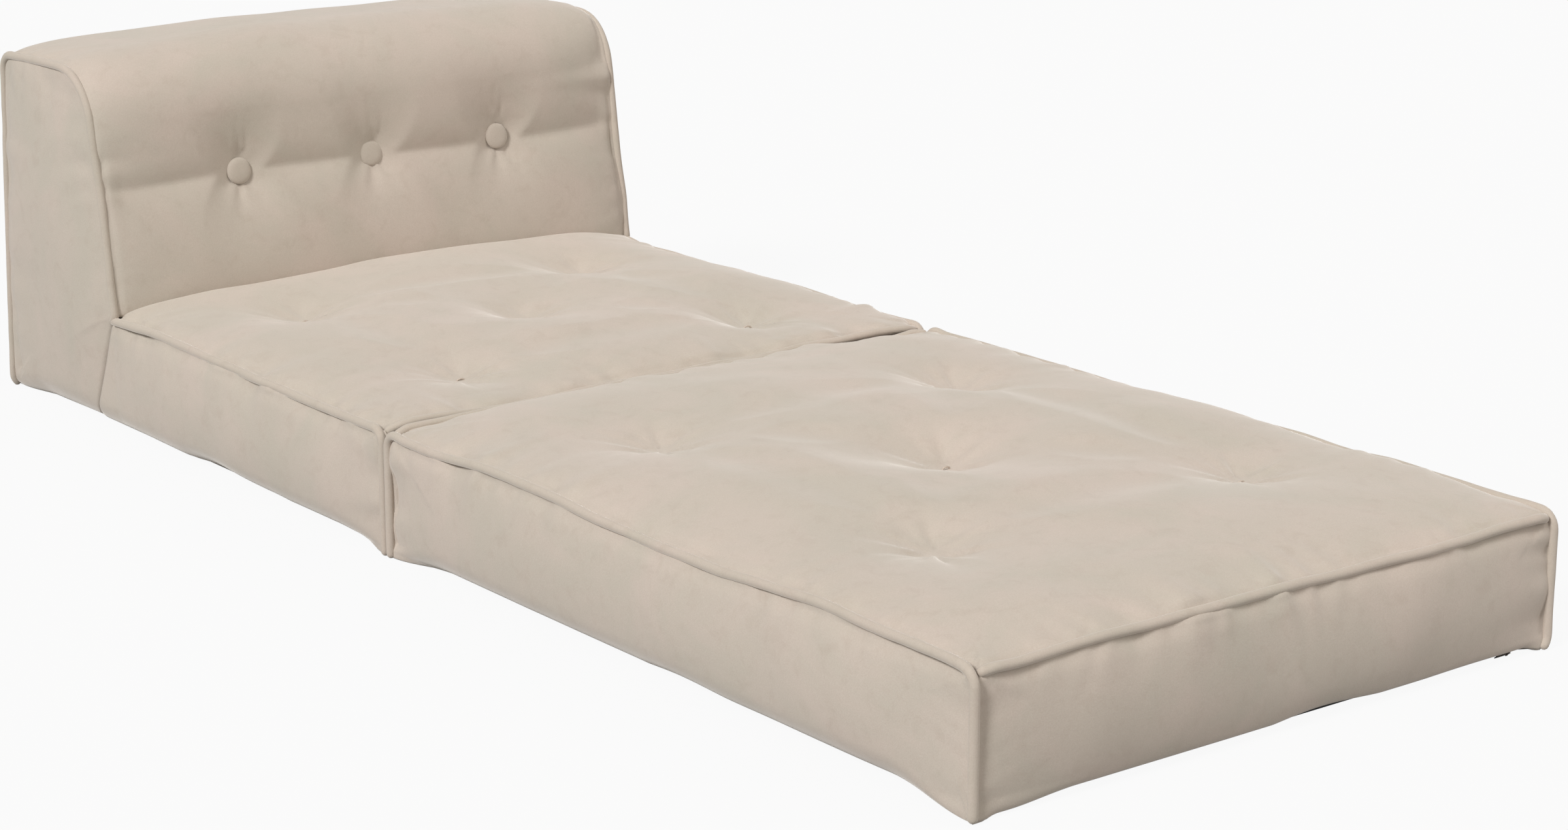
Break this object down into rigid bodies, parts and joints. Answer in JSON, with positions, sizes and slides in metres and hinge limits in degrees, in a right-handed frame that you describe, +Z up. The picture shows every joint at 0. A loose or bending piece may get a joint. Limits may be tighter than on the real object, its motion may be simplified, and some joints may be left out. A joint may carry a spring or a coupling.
{
  "type": "chair bed",
  "caption": "Unfolded single chair bed: a tufted foot section hinged by fabric to a seat with a raked, buttoned backrest, in beige piped velvet over foam.",
  "frame": {"origin": "on the floor, at the middle of the unfolded bed's footprint", "axes": "+Z up; -Y towards the foot end and +Y towards the backrest, along the bed; X across it"},
  "size_m": [0.8234, 1.9996, 0.4822],
  "materials": {
    "cover_fabric": "matte short-pile microsuede, warm greige",
    "piping_fabric": "the same microsuede round a cord",
    "base_fabric": "matte black non-woven base cloth",
    "foam": "open-cell polyurethane foam",
    "wadding": "white polyester wadding",
    "twine": "waxed polyester twine",
    "washer_plastic": "moulded polypropylene",
    "zip_tape": "woven black polyester tape",
    "zip_coil": "black nylon coil",
    "zip_metal": "black painted zinc, worn glossy"
  },
  "bodies": {
    "seat_unit": {"seat_foam_core": "foam", "seat_wadding": "wadding", "seat_top_panel": "cover_fabric", "seat_left_panel": "cover_fabric", "seat_right_panel": "cover_fabric", "seat_front_panel": "cover_fabric", "seat_base_panel": "base_fabric", "seat_front_piping": "piping_fabric", "seat_tuft_twines": "twine", "seat_tuft_washers": "washer_plastic", "left_piping": "piping_fabric", "right_piping": "piping_fabric", "seat_filler_cords": "wadding", "hinge_strip": "base_fabric", "backrest_foam_core": "foam", "backrest_wadding": "wadding", "backrest_front_panel": "cover_fabric", "backrest_left_panel": "cover_fabric", "backrest_right_panel": "cover_fabric", "backrest_rear_panel": "cover_fabric", "button_caps": "cover_fabric", "button_plates": "zip_metal", "button_twines": "twine", "button_washers": "washer_plastic", "back_zip_tapes": "zip_tape", "back_zip_coils": "zip_coil", "back_zip_stops": "zip_metal"},
    "foot_section": {"foot_foam_core": "foam", "foot_wadding": "wadding", "foot_top_panel": "cover_fabric", "foot_left_panel": "cover_fabric", "foot_right_panel": "cover_fabric", "foot_front_panel": "cover_fabric", "foot_rear_panel": "cover_fabric", "foot_base_panel": "base_fabric", "foot_left_piping": "piping_fabric", "foot_right_piping": "piping_fabric", "foot_front_piping": "piping_fabric", "foot_rear_piping": "piping_fabric", "foot_filler_cords": "wadding", "foot_tuft_twines": "twine", "foot_tuft_washers": "washer_plastic", "foot_zip_tapes": "zip_tape", "foot_zip_coils": "zip_coil", "foot_zip_stops": "zip_metal"},
    "foot_zip_slider": {"foot_zip_slider": "zip_metal"},
    "foot_zip_pull": {"foot_zip_pull": "zip_metal"},
    "back_zip_slider": {"back_zip_slider": "zip_metal"},
    "back_zip_pull": {"back_zip_pull": "zip_metal"}
  },
  "joints": [
    {"name": "fold_hinge", "type": "hinge", "parent": "seat_unit", "child": "foot_section", "pos_m": [0, 0.03136, -0.00015], "axis": [1, 0, 0], "range_deg": [0, 180], "deforming": ["hinge_strip"]},
    {"name": "foot_zip_slide", "type": "slide", "parent": "foot_section", "child": "foot_zip_slider", "axis": [-1, 0, 0], "range_m": [0, 0.702]},
    {"name": "foot_zip_pull_hinge", "type": "hinge", "parent": "foot_zip_slider", "child": "foot_zip_pull", "pos_m": [0.34775, -0.98077, 0.00475], "axis": [0, -0.7431, 0.6691], "range_deg": [0, 180]},
    {"name": "back_zip_slide", "type": "slide", "parent": "seat_unit", "child": "back_zip_slider", "axis": [1, 0, 0], "range_m": [0, 0.702]},
    {"name": "back_zip_pull_hinge", "type": "hinge", "parent": "back_zip_slider", "child": "back_zip_pull", "pos_m": [-0.34775, 0.9885, 0.00475], "axis": [0, 0.7431, 0.6691], "range_deg": [0, 180]}
  ]
}
